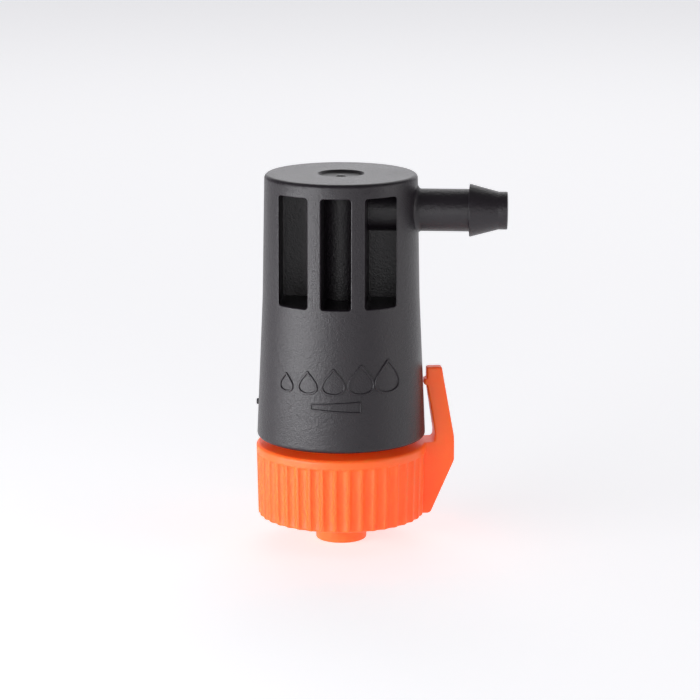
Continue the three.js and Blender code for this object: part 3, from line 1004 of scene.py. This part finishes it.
leads_down = round((THREAD_START - CAP["top"] - 1.3) / THREAD["lead"] - 0.5) + 0.5
male = thread_ridge(
    "stem_thread", THREAD["root"] - 0.15, THREAD["root"] + THREAD["height"],
    THREAD_START - leads_down * THREAD["lead"], 3.4,
)
combine(knob, "UNION", male)
finished(knob, "flow_knob", "knob", orange_plastic)

# %% [markdown]
# ## The three pieces inside
#
# The pin's cone and the mouth of the rubber seat make the gap that meters the water. The ring keeps it
# out of the thread. They are small turned pieces, and only their own boxes in the frame are needed to
# place them.

# %% Pin, seat and ring
pin_low, pin_high = (corner.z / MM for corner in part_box("metering_pin"))
pin = turned("pin", [
    (0, pin_low), (1.22, pin_low, 0.15), (1.22, NOSE_TOP + 0.03, 0.05), (1.9, NOSE_TOP + 0.03, 0.06),
    (1.9, NOSE_TOP + 0.48, 0.1), (1.15, NOSE_TOP + 0.48, 0.08), (0.4, pin_high, 0.3), (0, pin_high),
], columns=96)
finished(pin, "metering_pin", "knob", acetal)

seat_low, seat_high = (corner.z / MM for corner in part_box("seat_bush"))
seat = turned("seat", [
    (1.159, seat_low, 0.08), (2.5, seat_low, 0.1), (2.5, seat_low + 0.4, 0.06), (1.72, seat_low + 0.4),
    (1.72, seat_high, 0.12), (1.159, seat_high, 0.1),
], columns=96)
finished(seat, "seat_bush", "housing", rubber)

ring_low, ring_high = (corner.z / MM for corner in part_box("stem_ring"))
ring_middle, ring_section = (STEM["ring_seat"] + BOSS["seal_bore"]) / 2, (ring_high - ring_low) / 2
ring = turned("ring", [
    (ring_middle + ring_section * math.cos(2 * math.pi * k / 24),
     (ring_low + ring_high) / 2 + ring_section * math.sin(2 * math.pi * k / 24))
    for k in range(24)
], columns=96)
finished(ring, "stem_ring", "stem_ring", rubber)

# %% [markdown]
# ## The floor
#
# A wide, plain, pale sheet stands for the paper of a product table. A weak even glow keeps it nearly
# white, as if it were lit from below. It isn't part of the emitter. The air round it is dark in front and
# bright behind.


# %% Floor and air
def paper_surface(g, place):
    fibre = g.noise(place, 0.004, detail=3.0)
    return {
        "Base Color": g.mix(fibre, (0.78, 0.78, 0.78), (0.80, 0.80, 0.80)),
        "Roughness": 0.9 + fibre * 0.05,
    }


paper = plastic("paper", paper_surface, Emission_Color=(0.97, 0.97, 1.0, 1.0), Emission_Strength=0.60)
bpy.ops.mesh.primitive_plane_add(size=6.0, location=(0, 0, cad_low.z - 0.0001))
floor = bpy.context.object
floor.name = "floor"
floor.data.materials.append(paper)
floor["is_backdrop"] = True

world = bpy.data.worlds.new("studio_air")
bpy.context.scene.world = world
world.use_nodes = True
air = Graph(world.node_tree)
direction = air.node("ShaderNodeTexCoord")
heading = air.node("ShaderNodeSeparateXYZ", {}, {"Vector": direction}, out=1)
height = air.node("ShaderNodeSeparateXYZ", {}, {"Vector": direction}, out=2)
sides = air.mix(heading.steps_from(-0.92, -0.30), (0.03, 0.03, 0.032), (0.22, 0.21, 0.225))
sweep = air.mix(heading.steps_from(0.80, 0.97), sides, (1.50, 1.49, 1.54))
dim_above = air.mix(height.steps_from(0.25, 0.75), sweep, (0.16, 0.16, 0.165))
air.node("ShaderNodeOutputWorld", {}, {"Surface": air.node("ShaderNodeBackground", {}, {"Color": dim_above})})
print("stage set")

# %% [markdown]
# ## How far the surfaces grow
#
# The growth of the finished surfaces past the engineering model's box is printed, in millimetres. The
# finished surfaces have to stay inside the engineering model's box.

# %% Sizes and finish
seen_low, seen_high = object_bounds()
growth = [(seen - cad) / MM for cad, seen in zip((*cad_low, *cad_high), (*seen_low, *seen_high))]
print("growth in mm:", [round(step, 3) for step in growth])
